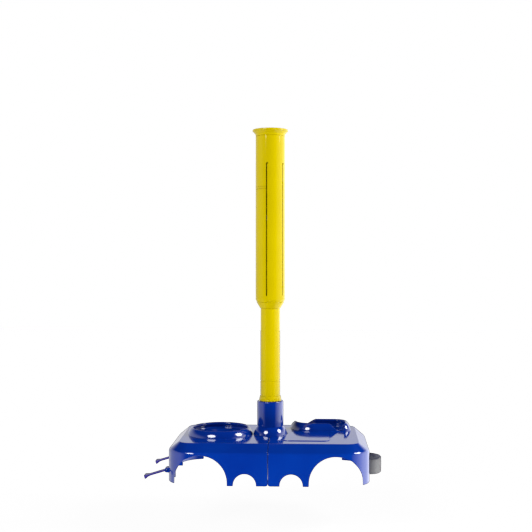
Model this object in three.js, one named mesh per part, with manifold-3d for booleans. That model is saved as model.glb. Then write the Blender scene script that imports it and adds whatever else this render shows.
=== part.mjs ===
// Batting tee: a two-half folding base, a socket, a removable post and a height-adjusting barrel.
// Millimetres, +Z up, X to the right, Y to the back. Every piece is drawn round the post's axis, and
// the whole tee is then moved by POST_X, so that the origin is on the ground in the middle of its box.
import * as THREE from 'three';
import { mergeVertices } from 'three/addons/utils/BufferGeometryUtils.js';
import Module from 'manifold-3d';

const wasm = await Module();
wasm.setup();

// ---- driving dimensions ----

const GAP = 0.3; // clearance between neighbouring pieces
const THROUGH = 5; // how far a cutter runs past the face it cuts
const POST_X = 11;

// Base: two half cases that meet at the seam
const BASE_LENGTH = 412;
const BASE_DEPTH = 270;
const DECK_Z = 81;
const CREASE_Z = 64; // where the upright wall turns into the slope
const SLOPE_INSET = 22;
const WALL_CORNER_R = 60;
const DECK_CORNER_R = 25;
const WALL = 3;
const SEAM_HALF_GAP = 0.5;

// Arches in the walls
const SMALL_ARCH = { x: 46.7, z: 0.3, r: 23.7 };
const BIG_ARCH = { x: 136.5, z: 4.75, r: 55 };
const REAR_ARCH = { x: 106, z: 4, r: 52 };
const SIDE_ARCH = { y: 0, z: 4, r: 56, flange: 10 };
const ARCH_CUT_DEPTH = 45; // the big arch also clears the wall's curved corner

// Fold hinge: one pin in each half, tied by a link at the front and another at the back
const PIN_R = 1.5;
const HINGE_X = 4.15;
const HINGE_Z = 4;
const KNUCKLE_R = 3.7;
const LINK_Y = 115;
const LINK_THICK = 6;
const LINK_ROOM = { x: 12, z: 10 };
const KNUCKLE_END = 11.5;

// Section shared by the two raised rims on the deck: a round flank under a round crest
const FLANK = { from: 10, to: 48, crestR: 2 }; // degrees above level, and a radius

// Ball dish on the left half
const DISH = { x: -106.4, y: -3, footR: 69.5, flankR: 25, floorZ: 66 };

// Bat cradle on the right half. Corner radii run anticlockwise from the rear right. Its rim dips at the
// front right and the rear left, so that a bat can lie slanting across it.
const CRADLE = {
  x0: 42,
  x1: 174,
  y0: 29,
  y1: 109,
  radii: [34, 20, 50, 20],
  flankR: 27.5,
  pocketInset: 12,
  floorZ: 74,
};
const DIP_Z = DECK_Z + 1;
const DIP_DEPTH = 14;
const FRONT_DIP = { x0: 127, x1: 146, x2: 156, x3: 165 };
const REAR_DIP = { x0: 73, x1: 98, y0: 72, y1: 84 };
const PAD = { x0: 27, x1: 126, y0: -82, y1: 18, r: 15, height: 1.2 };

// Latches on the left wall
const LATCH_Y = 74;
const LATCH_Z = 19;
const LATCH_PIVOT_X = BASE_LENGTH / 2 + 5;
const LATCH_LENGTH = 48;
const LATCH_DROOP = THREE.MathUtils.degToRad(16.9);
const LATCH_ARM = { halfWidth: 3.5, halfThick: 1.5, flare: 8, hub: 3.8, hubHalf: 4.3 };
const LATCH_BAR = { halfWidth: 8, up: 2.8, down: 4.8, length: 9.5 };
const BRACKET = { halfWidth: 8.4, halfGap: 4.8, r: 4.2 };

// Slots in the right wall, where the latches' bars go in when the base is folded
const FOLDED_TIP_Z = LATCH_LENGTH - LATCH_Z - GAP;
const LATCH_SLOT = { halfWidth: 9.5, z0: FOLDED_TIP_Z - 11.5, z1: FOLDED_TIP_Z + 1.2 };

// Carry strap on the right wall
const STRAP = { width: 30, thick: 2, z: 20, y: 40, reach: 29.5, tail: 10 };
const STRAP_SLIT = { halfWidth: 2.2, over: 1 };
const STRAP_STOP = { thick: 5, halfWidth: 6, over: 4 };

// Socket, post and barrel
const SOCKET_R = 27.5;
const SOCKET_TOP = 152;
const DOME_R = 36;
const DOME_Z = 98;
const SOCKET_FLOOR = 84.4;
const SCREW_CIRCLE_R = 31;
const SCREW_ANGLES = [-62, 0, 62];
const SCREW = { r: 1.6, headR: 3.6, headHeight: 2.4, socketHoleR: 1.9, deckHoleR: 2.2, length: 11 };
const TUBE_R = 20.5;
const TUBE_WALL = 2.2;
const TUBE_TOP = 536;
const RING_GROOVE_Z = 195;
const BARREL_R = 31.25;
const BARREL_WALL = 2.2;
const BARREL_Z0 = 363.4;
const BARREL_Z1 = 716.7;
const SLOT = { count: 5, width: 2.4, hook: 3.5, z0: 377, z1: 658.5, firstDeg: -12.6 };
const CUP_R = 38;
const TOP_Z = 731;

// ---- shapes ----

/** A closed geometry as a solid that can be joined and cut. */
function solid(geometry) {
  const bare = geometry.clone();
  bare.deleteAttribute('normal');
  bare.deleteAttribute('uv');
  const merged = mergeVertices(bare, 1e-4);
  const mesh = new wasm.Mesh({
    numProp: 3,
    vertProperties: new Float32Array(merged.attributes.position.array),
    triVerts: new Uint32Array(merged.index.array),
  });
  return new wasm.Manifold(mesh);
}

/** The solid back as a three.js geometry. */
function geometryOf(body) {
  const mesh = body.getMesh();
  const geometry = new THREE.BufferGeometry();
  geometry.setAttribute('position', new THREE.BufferAttribute(mesh.vertProperties, 3));
  geometry.setIndex(new THREE.BufferAttribute(mesh.triVerts, 1));
  geometry.computeVertexNormals();
  return geometry;
}

function box(x0, x1, y0, y1, z0, z1) {
  const geometry = new THREE.BoxGeometry(Math.abs(x1 - x0), Math.abs(y1 - y0), Math.abs(z1 - z0));
  return geometry.translate((x0 + x1) / 2, (y0 + y1) / 2, (z0 + z1) / 2);
}

/** An outline in X and Y, pushed up from z0 to z1. */
function alongZ(shape, z0, z1, curveSegments = 8) {
  const geometry = new THREE.ExtrudeGeometry(shape, { depth: z1 - z0, bevelEnabled: false, curveSegments });
  return geometry.translate(0, 0, z0);
}

/** An outline in X and Z, pushed back from y0 to y1. */
function alongY(shape, y0, y1, curveSegments = 8) {
  const geometry = new THREE.ExtrudeGeometry(shape, { depth: y1 - y0, bevelEnabled: false, curveSegments });
  return geometry.rotateX(Math.PI / 2).translate(0, y1, 0);
}

/** An outline in Y and Z, pushed right from x0 to x1. */
function alongX(shape, x0, x1, curveSegments = 8) {
  const geometry = new THREE.ExtrudeGeometry(shape, { depth: x1 - x0, bevelEnabled: false, curveSegments });
  const axes = new THREE.Matrix4().makeBasis(
    new THREE.Vector3(0, 1, 0),
    new THREE.Vector3(0, 0, 1),
    new THREE.Vector3(1, 0, 0),
  );
  return geometry.applyMatrix4(axes).translate(x0, 0, 0);
}

function circle(x, y, r) {
  return new THREE.Shape().absarc(x, y, r, 0, 2 * Math.PI, false);
}

function roundedRect(x0, x1, y0, y1, r) {
  const shape = new THREE.Shape();
  shape.absarc(x1 - r, y1 - r, r, 0, Math.PI / 2, false);
  shape.absarc(x0 + r, y1 - r, r, Math.PI / 2, Math.PI, false);
  shape.absarc(x0 + r, y0 + r, r, Math.PI, 1.5 * Math.PI, false);
  shape.absarc(x1 - r, y0 + r, r, 1.5 * Math.PI, 2 * Math.PI, false);
  return shape;
}

function polygon(points) {
  return new THREE.Shape(points.map(([x, y]) => new THREE.Vector2(x, y)));
}

/** Points round a level rectangle, moved in by inset, with a radius for each corner from the rear right. */
function ring({ x0, x1, y0, y1, radii }, inset, z) {
  const steps = 6;
  const corners = [
    [x1 - radii[0], y1 - radii[0]],
    [x0 + radii[1], y1 - radii[1]],
    [x0 + radii[2], y0 + radii[2]],
    [x1 - radii[3], y0 + radii[3]],
  ];
  return corners.flatMap(([x, y], i) =>
    Array.from({ length: steps + 1 }, (_, k) => {
      const angle = (Math.PI / 2) * (i + k / steps);
      const r = radii[i] - inset;
      return [x + r * Math.cos(angle), y + r * Math.sin(angle), z];
    }),
  );
}

/** The tight skin round level outlines. */
function wrapped(...rings) {
  return wasm.Manifold.hull(rings.flat());
}

/** An arch outline: a half circle on straight legs that run down past the ground. */
function arch(across, z, r) {
  const below = -THROUGH;
  const shape = new THREE.Shape();
  shape.moveTo(across - r, below);
  shape.lineTo(across + r, below);
  shape.lineTo(across + r, z);
  shape.absarc(across, z, r, 0, Math.PI, false);
  return shape;
}

/** A profile of [radius, height] points turned round the Z axis. */
function turned(profile, segments = 32) {
  const points = profile.map(([r, z]) => new THREE.Vector2(r, z));
  const closed = profile[0][0] > 0;
  if (closed) points.push(points[0].clone());
  if (THREE.ShapeUtils.area(points) < 0) points.reverse();
  return new THREE.LatheGeometry(points, segments).rotateX(Math.PI / 2);
}

/** A ring of [radius, height] points along an elliptical quarter. */
function quarter(r0, z0, dr, dz, from, to, steps) {
  return Array.from({ length: steps + 1 }, (_, i) => {
    const angle = THREE.MathUtils.degToRad(from + ((to - from) * i) / steps);
    return [r0 + dr * Math.cos(angle), z0 + dz * Math.sin(angle)];
  });
}

/** A round pin or hole along Y. */
function rodY(x, z, r, y0, y1, curveSegments = 6) {
  return alongY(circle(x, z, r), y0, y1, curveSegments);
}

// ---- base halves ----

/** The outside of both half cases together, or a copy of it moved inwards by inset. */
function caseEnvelope(inset) {
  const turnAtCrease = Math.atan2(SLOPE_INSET, DECK_Z - CREASE_Z);
  const turnAtDeck = Math.PI / 2 - turnAtCrease;
  const creaseZ = CREASE_Z - inset * Math.tan(turnAtCrease / 2);
  const deckInset = inset * Math.tan(turnAtDeck / 2);
  const outline = (by, r) => ({
    x0: by - BASE_LENGTH / 2,
    x1: BASE_LENGTH / 2 - by,
    y0: by - BASE_DEPTH / 2,
    y1: BASE_DEPTH / 2 - by,
    radii: [r, r, r, r],
  });
  const wall = outline(0, WALL_CORNER_R);
  const deck = outline(SLOPE_INSET, DECK_CORNER_R);
  return wrapped(
    ring(wall, inset, -THROUGH),
    ring(wall, inset, creaseZ),
    ring(deck, deckInset, DECK_Z - inset),
  );
}

/** What both halves share: walls, deck, seam wall, front and rear arches and hinge knuckles. */
function plainHalf(side) {
  const far = side * BASE_LENGTH;
  const seam = side * SEAM_HALF_GAP;
  let half = caseEnvelope(0).intersect(solid(box(seam, far, -BASE_DEPTH, BASE_DEPTH, 0, 2 * DECK_Z)));
  const hollow = solid(box(seam + side * WALL, far, -BASE_DEPTH, BASE_DEPTH, -THROUGH, 2 * DECK_Z));
  half = half.subtract(caseEnvelope(WALL).intersect(hollow));

  const frontY = -BASE_DEPTH / 2;
  const small = arch(side * SMALL_ARCH.x, SMALL_ARCH.z, SMALL_ARCH.r);
  const big = arch(side * BIG_ARCH.x, BIG_ARCH.z, BIG_ARCH.r);
  const rear = arch(side * REAR_ARCH.x, REAR_ARCH.z, REAR_ARCH.r);
  half = half.subtract(solid(alongY(small, frontY - THROUGH, frontY + WALL + THROUGH)));
  half = half.subtract(solid(alongY(big, frontY - THROUGH, frontY + ARCH_CUT_DEPTH, 12)));
  half = half.subtract(solid(alongY(rear, -frontY - WALL - THROUGH, -frontY + THROUGH, 12)));

  // The bottom edge at the seam is rounded about the hinge pin, so that the halves can roll over.
  const pinX = side * HINGE_X;
  const edge = solid(box(0, pinX, -BASE_DEPTH, BASE_DEPTH, -THROUGH, HINGE_Z));
  const roll = solid(rodY(pinX, HINGE_Z, KNUCKLE_R, -BASE_DEPTH, BASE_DEPTH));
  half = half.subtract(edge.subtract(roll));

  for (const end of [-1, 1]) {
    const y0 = end * LINK_Y - KNUCKLE_END;
    const y1 = end * LINK_Y + KNUCKLE_END;
    const slotHalf = LINK_THICK / 2 + GAP;
    const { x, z } = LINK_ROOM;
    const linkRoom = box(-x, x, end * LINK_Y - slotHalf, end * LINK_Y + slotHalf, -THROUGH, z);
    half = half.add(solid(rodY(pinX, HINGE_Z, KNUCKLE_R, y0, y1)));
    half = half.subtract(solid(linkRoom));
    half = half.subtract(solid(rodY(pinX, HINGE_Z, PIN_R + GAP, y0 - 1, y1 + 1)));
  }
  return half;
}

/** [inset, height] points up a rim's flank and over its crest, from the foot on the deck. */
function rimSection(flankR) {
  const { from, to, crestR } = FLANK;
  const start = THREE.MathUtils.degToRad(from);
  const end = THREE.MathUtils.degToRad(to);
  const inset = (angle) => flankR * (Math.cos(start) - Math.cos(angle));
  const height = (angle) => DECK_Z + flankR * (Math.sin(angle) - Math.sin(start));
  const flank = [0, 1, 2, 3].map((i) => start + ((end - start) * i) / 3);
  const crestIn = inset(end) + crestR * Math.cos(end);
  const crestZ = height(end) - crestR * Math.sin(end);
  const crest = [70, 90, 125, 180].map((degrees) => THREE.MathUtils.degToRad(degrees));
  return [
    ...flank.map((angle) => [inset(angle), height(angle)]),
    ...crest.map((angle) => [crestIn - crestR * Math.cos(angle), crestZ + crestR * Math.sin(angle)]),
  ];
}

/** A raised ring with a shallow bowl inside it, to hold a ball. */
function dishSolid() {
  const { footR, flankR, floorZ } = DISH;
  const underDeck = DECK_Z - WALL;
  const section = [
    [0, floorZ],
    [34, floorZ + 1.5],
    [50, floorZ + 9],
    [54, underDeck],
    [footR, underDeck],
    ...rimSection(flankR).map(([inset, z]) => [footR - inset, z]),
    [57, DECK_Z + 6],
    [55, DECK_Z + 5],
    [51, floorZ + 12.5],
    [33, floorZ + 4.5],
    [0, floorZ + WALL],
  ];
  return solid(turned(section, 40).translate(DISH.x, DISH.y, 0));
}

/** Two ears on the left wall that hold a latch's pin. */
function latchBracket(y) {
  const { halfWidth, halfGap, r } = BRACKET;
  const wallX = BASE_LENGTH / 2;
  let bracket = solid(box(1 - wallX, -LATCH_PIVOT_X, y - halfWidth, y + halfWidth, LATCH_Z - r, LATCH_Z + r));
  bracket = bracket.add(solid(rodY(-LATCH_PIVOT_X, LATCH_Z, r, y - halfWidth, y + halfWidth)));
  const room = box(-wallX, -LATCH_PIVOT_X - 2 * r, y - halfGap, y + halfGap, 0, 2 * LATCH_Z);
  return bracket.subtract(solid(room));
}

function leftHalf() {
  const wellR = DISH.footR - 2 * WALL;
  let half = plainHalf(-1);
  const well = alongZ(circle(DISH.x, DISH.y, wellR), DECK_Z - WALL - 1, DECK_Z + 1, 20);
  half = half.subtract(solid(well));
  half = half.add(dishSolid());

  const wallX = -BASE_LENGTH / 2;
  const { y, z, r, flange } = SIDE_ARCH;
  const lining = solid(alongX(arch(y, z, r + WALL), wallX + 1, wallX + flange, 12));
  const ground = solid(box(wallX, wallX + flange, -BASE_DEPTH, BASE_DEPTH, -2 * THROUGH, 0));
  half = half.add(lining.subtract(ground));
  half = half.subtract(solid(alongX(arch(y, z, r), wallX - THROUGH, wallX + flange + THROUGH, 12)));

  for (const end of [-1, 1]) {
    const latchY = end * LATCH_Y;
    half = half.add(latchBracket(latchY));
    half = half.subtract(solid(rodY(-LATCH_PIVOT_X, LATCH_Z, PIN_R + GAP, latchY - 10, latchY + 10)));
  }
  return half;
}

/** The cradle's rim and sunk floor, open at the two dips. */
function cradleSolid() {
  const { x0, y0, y1, flankR, pocketInset, floorZ } = CRADLE;
  const section = rimSection(flankR);
  const rimZ = Math.max(...section.map(([, z]) => z));
  const [crestInset] = section.at(-1);
  let cradle = wrapped(...section.map(([inset, z]) => ring(CRADLE, inset, z)));
  const pan = pocketInset - WALL;
  cradle = cradle.add(wrapped(ring(CRADLE, pan, floorZ - WALL), ring(CRADLE, pan, DECK_Z)));

  const over = rimZ + 1;
  const { x0: fall, x1: low, x2: lowEnd, x3: riseEnd } = FRONT_DIP;
  const front = polygon([[fall, over], [low, DIP_Z], [lowEnd, DIP_Z], [riseEnd, over]]);
  const edge = x0 - THROUGH;
  const rear = polygon([[edge, over], [edge, DIP_Z], [REAR_DIP.x0, DIP_Z], [REAR_DIP.x1, over]]);
  const left = polygon([[REAR_DIP.y0, over], [REAR_DIP.y1, DIP_Z], [y1, DIP_Z], [y1, over]]);
  cradle = cradle.subtract(solid(alongY(front, y0 - THROUGH, y0 + DIP_DEPTH)));
  cradle = cradle.subtract(solid(alongY(rear, y1 - DIP_DEPTH, y1 + THROUGH)));
  cradle = cradle.subtract(solid(alongX(left, x0 - THROUGH, x0 + DIP_DEPTH)));
  const pocket = wrapped(
    ring(CRADLE, crestInset, over),
    ring(CRADLE, crestInset, rimZ - FLANK.crestR),
    ring(CRADLE, pocketInset, floorZ),
  );
  return { cradle, pocket };
}

function rightHalf() {
  const { cradle, pocket } = cradleSolid();
  let half = plainHalf(1).add(cradle).subtract(pocket);

  const padOutline = roundedRect(PAD.x0, PAD.x1, PAD.y0, PAD.y1, PAD.r);
  const pad = solid(alongZ(padOutline, DECK_Z - 1, DECK_Z + PAD.height, 4));
  half = half.add(pad.subtract(solid(alongZ(circle(0, 0, DOME_R + 2), DECK_Z, DECK_Z + THROUGH))));
  for (const [x, y] of screwPlaces()) {
    const hole = alongZ(circle(x, y, SCREW.deckHoleR), DECK_Z - 2 * WALL, DECK_Z + THROUGH, 4);
    half = half.subtract(solid(hole));
  }

  const wallX = BASE_LENGTH / 2;
  const inside = wallX - WALL - THROUGH;
  for (const end of [-1, 1]) {
    const y = end * STRAP.y;
    const high = STRAP.width / 2 + STRAP_SLIT.over;
    const wide = STRAP_SLIT.halfWidth;
    const slit = box(inside, wallX + THROUGH, y - wide, y + wide, STRAP.z - high, STRAP.z + high);
    const latchY = end * LATCH_Y;
    const { halfWidth, z0, z1 } = LATCH_SLOT;
    const slot = box(inside, wallX + THROUGH, latchY - halfWidth, latchY + halfWidth, z0, z1);
    half = half.subtract(solid(slit)).subtract(solid(slot));
  }
  return half;
}

/** Places of the screws that hold the socket down, all on the right half. */
function screwPlaces() {
  return SCREW_ANGLES.map((degrees) => {
    const angle = THREE.MathUtils.degToRad(degrees);
    return [SCREW_CIRCLE_R * Math.cos(angle), SCREW_CIRCLE_R * Math.sin(angle)];
  });
}

// ---- hinge, latches and strap ----

function hingeLink(end) {
  const y0 = end * LINK_Y - LINK_THICK / 2;
  const y1 = end * LINK_Y + LINK_THICK / 2;
  const shape = new THREE.Shape();
  shape.absarc(HINGE_X, HINGE_Z, KNUCKLE_R, -Math.PI / 2, Math.PI / 2, false);
  shape.absarc(-HINGE_X, HINGE_Z, KNUCKLE_R, Math.PI / 2, 1.5 * Math.PI, false);
  for (const x of [-HINGE_X, HINGE_X]) {
    shape.holes.push(new THREE.Path().absarc(x, HINGE_Z, PIN_R + GAP, 0, 2 * Math.PI, true));
  }
  return alongY(shape, y0, y1, 6);
}

function hingePin(side, end) {
  const y = end * LINK_Y;
  const reach = KNUCKLE_END - 0.5;
  return rodY(side * HINGE_X, HINGE_Z, PIN_R, y - reach, y + reach);
}

/** A latch lying along -X from its pivot at the origin, with a flared bar across its end. */
function latch() {
  const { halfWidth, halfThick, flare, hub, hubHalf } = LATCH_ARM;
  const end = -LATCH_LENGTH;
  const side = polygon([
    [-halfThick, -halfThick],
    [end + flare, -halfThick],
    [end, -LATCH_BAR.down],
    [end, LATCH_BAR.up],
    [end + flare, halfThick],
    [-halfThick, halfThick],
  ]);
  const wide = LATCH_BAR.halfWidth;
  const tip = solid(box(end, end + LATCH_BAR.length, -wide, wide, -LATCH_LENGTH, LATCH_LENGTH));
  let body = solid(alongY(side, -halfWidth, halfWidth));
  body = body.add(solid(alongY(side, -wide, wide)).intersect(tip));
  body = body.add(solid(rodY(0, 0, hub, -hubHalf, hubHalf)));
  return body.subtract(solid(rodY(0, 0, PIN_R + GAP, -wide, wide)));
}

/** A loop of webbing that stands out of the wall, with both ends passed in through it. */
function carryStrap() {
  const wallX = BASE_LENGTH / 2;
  const half = STRAP.thick / 2;
  const steps = 16;
  const edge = (offset) => {
    const points = [[wallX - STRAP.tail, -STRAP.y - offset]];
    for (let i = 0; i <= steps; i += 1) {
      const angle = -Math.PI / 2 + (Math.PI * i) / steps;
      const x = wallX + 1 + (STRAP.reach - 1 - half + offset) * Math.cos(angle);
      points.push([x, (STRAP.y + offset) * Math.sin(angle)]);
    }
    points.push([wallX - STRAP.tail, STRAP.y + offset]);
    return points;
  };
  const outline = polygon([...edge(half), ...edge(-half).reverse()]);
  return alongZ(outline, STRAP.z - STRAP.width / 2, STRAP.z + STRAP.width / 2);
}

/** A bar buckle behind the wall that stops one end of the strap. */
function strapStop(end) {
  const { thick, halfWidth, over } = STRAP_STOP;
  const y = end * STRAP.y;
  const half = STRAP.width / 2;
  const x1 = BASE_LENGTH / 2 - WALL - GAP;
  const slitHalf = STRAP.thick / 2 + GAP;
  const reach = half + over;
  const bar = solid(box(x1 - thick, x1, y - halfWidth, y + halfWidth, STRAP.z - reach, STRAP.z + reach));
  const low = STRAP.z - half - GAP;
  const high = STRAP.z + half + GAP;
  const slit = box(x1 - 2 * thick, x1 + thick, y - slitHalf, y + slitHalf, low, high);
  return bar.subtract(solid(slit));
}

// ---- socket, post and barrel ----

function poleSocket() {
  const foot = DECK_Z + GAP;
  const boreR = TUBE_R + 0.4;
  const profile = [
    [0, foot],
    ...quarter(SOCKET_R, foot, DOME_R - SOCKET_R, DOME_Z - foot, 0, 90, 6),
    [SOCKET_R, SOCKET_TOP - 1],
    [SOCKET_R - 1, SOCKET_TOP],
    [boreR + 0.7, SOCKET_TOP],
    [boreR, SOCKET_TOP - 0.7],
    [boreR, SOCKET_FLOOR],
    [0, SOCKET_FLOOR],
  ];
  let body = solid(turned(profile));
  for (const [x, y] of screwPlaces()) {
    const hole = alongZ(circle(x, y, SCREW.socketHoleR), foot - THROUGH, foot + SCREW.length, 4);
    body = body.subtract(solid(hole));
  }
  return body;
}

function socketScrew() {
  const { r, headR, headHeight, length } = SCREW;
  const headTop = DECK_Z - WALL - GAP;
  const profile = [
    [0, headTop - headHeight],
    [headR - 1, headTop - headHeight],
    [headR, headTop - headHeight / 2],
    [headR, headTop],
    [r, headTop],
    [r, headTop + length],
    [0, headTop + length + 1],
  ];
  return turned(profile, 12);
}

function lowerTube() {
  const bottom = SOCKET_FLOOR + 2.6;
  const innerR = TUBE_R - TUBE_WALL;
  return turned([
    [innerR, bottom],
    [TUBE_R, bottom],
    [TUBE_R, RING_GROOVE_Z - 1],
    [TUBE_R - 0.5, RING_GROOVE_Z - 0.6],
    [TUBE_R - 0.5, RING_GROOVE_Z + 0.6],
    [TUBE_R, RING_GROOVE_Z + 1],
    [TUBE_R, TUBE_TOP],
    [innerR, TUBE_TOP],
  ]);
}

function tubeEndPlug() {
  const bottom = SOCKET_FLOOR + GAP;
  const spigotR = TUBE_R - TUBE_WALL - GAP;
  return turned([
    [0, bottom],
    [TUBE_R - GAP, bottom],
    [TUBE_R - GAP, bottom + 2],
    [spigotR, bottom + 2],
    [spigotR, bottom + 12],
    [0, bottom + 12],
  ]);
}

function stopCollar() {
  const bottom = SOCKET_TOP + GAP;
  return turned([
    [TUBE_R + GAP, bottom],
    [23.2, bottom],
    [23.2, bottom + 3],
    [22.2, bottom + 4.2],
    [22.8, bottom + 5.4],
    [21.6, bottom + 10.7],
    [TUBE_R + GAP, bottom + 10.7],
  ]);
}

function guideBush() {
  const spigotR = TUBE_R - TUBE_WALL - GAP;
  const flange = TUBE_TOP + GAP;
  return turned([
    [15, TUBE_TOP - 12],
    [spigotR, TUBE_TOP - 12],
    [spigotR, flange],
    [BARREL_R - BARREL_WALL - GAP, flange],
    [BARREL_R - BARREL_WALL - GAP, flange + 11],
    [15, flange + 11],
  ]);
}

function barrelCollar() {
  const boreR = TUBE_R + GAP;
  const spigotR = BARREL_R - BARREL_WALL - GAP;
  const shoulder = BARREL_Z0 - GAP;
  return turned([
    [boreR, shoulder - 13],
    [boreR + 0.8, shoulder - 13],
    [BARREL_R - 2, shoulder],
    [spigotR, shoulder],
    [spigotR, shoulder + 12],
    [boreR, shoulder + 12],
  ]);
}

function barrelSleeve() {
  const innerR = BARREL_R - BARREL_WALL;
  let body = solid(
    turned([
      [innerR, BARREL_Z0],
      [BARREL_R - 1.5, BARREL_Z0],
      ...quarter(BARREL_R - 5, BARREL_Z0 + 6.6, 5, 6.6, -40, 0, 3),
      [BARREL_R, BARREL_Z1],
      [innerR, BARREL_Z1],
    ]),
  );
  for (let i = 0; i < SLOT.count; i += 1) {
    const angle = THREE.MathUtils.degToRad(SLOT.firstDeg + (360 * i) / SLOT.count);
    const long = box(-SLOT.width / 2, SLOT.width / 2, -BARREL_R - 2, -BARREL_R + 6, SLOT.z0, SLOT.z1);
    const hook = box(-SLOT.width / 2, SLOT.hook, -BARREL_R - 2, -BARREL_R + 6, SLOT.z1 - SLOT.width, SLOT.z1);
    const cut = solid(long).add(solid(hook));
    body = body.subtract(solid(geometryOf(cut).rotateZ(angle)));
  }
  return body;
}

function ballCup() {
  const spigotR = BARREL_R - BARREL_WALL - GAP;
  const shoulder = BARREL_Z1 + GAP;
  return turned([
    [23, shoulder - 15],
    [spigotR, shoulder - 15],
    [spigotR, shoulder],
    [BARREL_R, shoulder],
    ...quarter(CUP_R - 0.5, shoulder + 0.5, CUP_R - BARREL_R - 0.5, 9.5, 180, 100, 4),
    [CUP_R, TOP_Z - 3.5],
    [CUP_R, TOP_Z - 1],
    [CUP_R - 1, TOP_Z],
    [34.5, TOP_Z],
    [32, TOP_Z - 2],
    [23, TOP_Z - 13],
  ]);
}

// ---- assembly ----

const finishes = {
  blue: new THREE.MeshStandardMaterial({ color: '#0a2f9e', roughness: 0.22, metalness: 0 }),
  latchBlue: new THREE.MeshStandardMaterial({ color: '#3a3480', roughness: 0.4, metalness: 0 }),
  yellow: new THREE.MeshStandardMaterial({ color: '#e0cc0a', roughness: 0.35, metalness: 0 }),
  webbing: new THREE.MeshStandardMaterial({ color: '#3c3d42', roughness: 0.95, metalness: 0 }),
  black: new THREE.MeshStandardMaterial({ color: '#17181a', roughness: 0.5, metalness: 0 }),
  steel: new THREE.MeshStandardMaterial({ color: '#b4b6b8', roughness: 0.35, metalness: 1 }),
};

const tee = new THREE.Group();
tee.position.x = POST_X;

/** Adds a piece to a group under the name a person would use for it. */
function add(parent, name, shape, finish) {
  const geometry = shape.isBufferGeometry ? shape : geometryOf(shape);
  const mesh = new THREE.Mesh(geometry, finish);
  mesh.name = name;
  parent.add(mesh);
  return mesh;
}

const ENDS = [
  ['front', -1],
  ['rear', 1],
];

const rightSide = new THREE.Group();
add(rightSide, 'right_base_half', rightHalf(), finishes.blue);
add(rightSide, 'pole_socket', poleSocket(), finishes.blue);
screwPlaces().forEach(([x, y], i) => {
  add(rightSide, `socket_screw_${i + 1}`, socketScrew(), finishes.steel).position.set(x, y, 0);
});
add(rightSide, 'carry_strap', carryStrap(), finishes.webbing);
for (const [place, end] of ENDS) {
  add(rightSide, `strap_stop_${place}`, strapStop(end), finishes.black);
  add(rightSide, `right_hinge_pin_${place}`, hingePin(1, end), finishes.steel);
}
tee.add(rightSide);

const leftSide = new THREE.Group();
add(leftSide, 'left_base_half', leftHalf(), finishes.blue);
for (const [place, end] of ENDS) {
  add(leftSide, `hinge_link_${place}`, hingeLink(end), finishes.blue);
  add(leftSide, `left_hinge_pin_${place}`, hingePin(-1, end), finishes.steel);
  const pivot = new THREE.Group();
  pivot.position.set(-LATCH_PIVOT_X, end * LATCH_Y, LATCH_Z);
  pivot.rotation.y = -LATCH_DROOP;
  add(pivot, `latch_${place}`, latch(), finishes.latchBlue);
  const reach = BRACKET.halfWidth - 0.2;
  add(pivot, `latch_pin_${place}`, rodY(0, 0, PIN_R, -reach, reach), finishes.steel);
  leftSide.add(pivot);
}
tee.add(leftSide);

const post = new THREE.Group();
add(post, 'lower_tube', lowerTube(), finishes.yellow);
add(post, 'tube_end_plug', tubeEndPlug(), finishes.yellow);
add(post, 'stop_collar', stopCollar(), finishes.yellow);
add(post, 'guide_bush', guideBush(), finishes.black);
tee.add(post);

const barrel = new THREE.Group();
add(barrel, 'barrel_sleeve', barrelSleeve(), finishes.yellow);
add(barrel, 'barrel_collar', barrelCollar(), finishes.yellow);
add(barrel, 'ball_cup', ballCup(), finishes.yellow);
tee.add(barrel);

export default tee;
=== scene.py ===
"""Looks of the batting tee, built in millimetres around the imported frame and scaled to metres.

+Z is up, +X is to the side with the carry strap and +Y is to the back. Every piece is built round the
post's axis, and surface() then moves it by POST_X to where the frame has it.
"""
import math

import bmesh
import bpy
from mathutils import Matrix, Vector

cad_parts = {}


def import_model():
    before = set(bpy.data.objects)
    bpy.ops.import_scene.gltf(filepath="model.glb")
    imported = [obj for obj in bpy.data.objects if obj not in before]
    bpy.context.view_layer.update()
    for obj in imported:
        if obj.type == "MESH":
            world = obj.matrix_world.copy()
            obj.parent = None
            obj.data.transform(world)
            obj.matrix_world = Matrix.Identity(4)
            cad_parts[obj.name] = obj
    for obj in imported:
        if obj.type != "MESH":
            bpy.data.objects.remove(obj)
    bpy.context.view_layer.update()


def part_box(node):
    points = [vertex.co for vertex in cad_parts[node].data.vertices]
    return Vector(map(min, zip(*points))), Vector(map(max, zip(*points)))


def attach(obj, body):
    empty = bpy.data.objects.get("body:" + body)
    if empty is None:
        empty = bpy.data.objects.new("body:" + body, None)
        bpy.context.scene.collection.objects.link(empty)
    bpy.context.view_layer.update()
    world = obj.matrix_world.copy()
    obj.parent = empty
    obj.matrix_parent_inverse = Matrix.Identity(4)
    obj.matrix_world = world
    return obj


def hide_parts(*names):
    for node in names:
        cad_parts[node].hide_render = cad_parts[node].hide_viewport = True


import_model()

MM = 0.001
SCENE = bpy.context.scene

POST_X = (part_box("lower_tube")[0].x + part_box("lower_tube")[1].x) / 2 / MM


def node_mm(node):
    """Lowest and highest corners of a CAD node in millimetres, measured from the post's axis."""
    low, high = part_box(node)
    shift = Vector((POST_X, 0, 0))
    return low / MM - shift, high / MM - shift


# ---- sizes that come from the frame ----

RIGHT_HIGH = node_mm("right_base_half")[1]
SOCKET_LOW, SOCKET_HIGH = node_mm("pole_socket")
TUBE_LOW, TUBE_HIGH = node_mm("lower_tube")
SLEEVE_LOW, SLEEVE_HIGH = node_mm("barrel_sleeve")
COLLAR_LOW, COLLAR_HIGH = node_mm("barrel_collar")
CUP_LOW, CUP_HIGH = node_mm("ball_cup")
STOP_LOW, STOP_HIGH = node_mm("stop_collar")
STRAP_LOW, STRAP_HIGH = node_mm("carry_strap")

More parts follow.
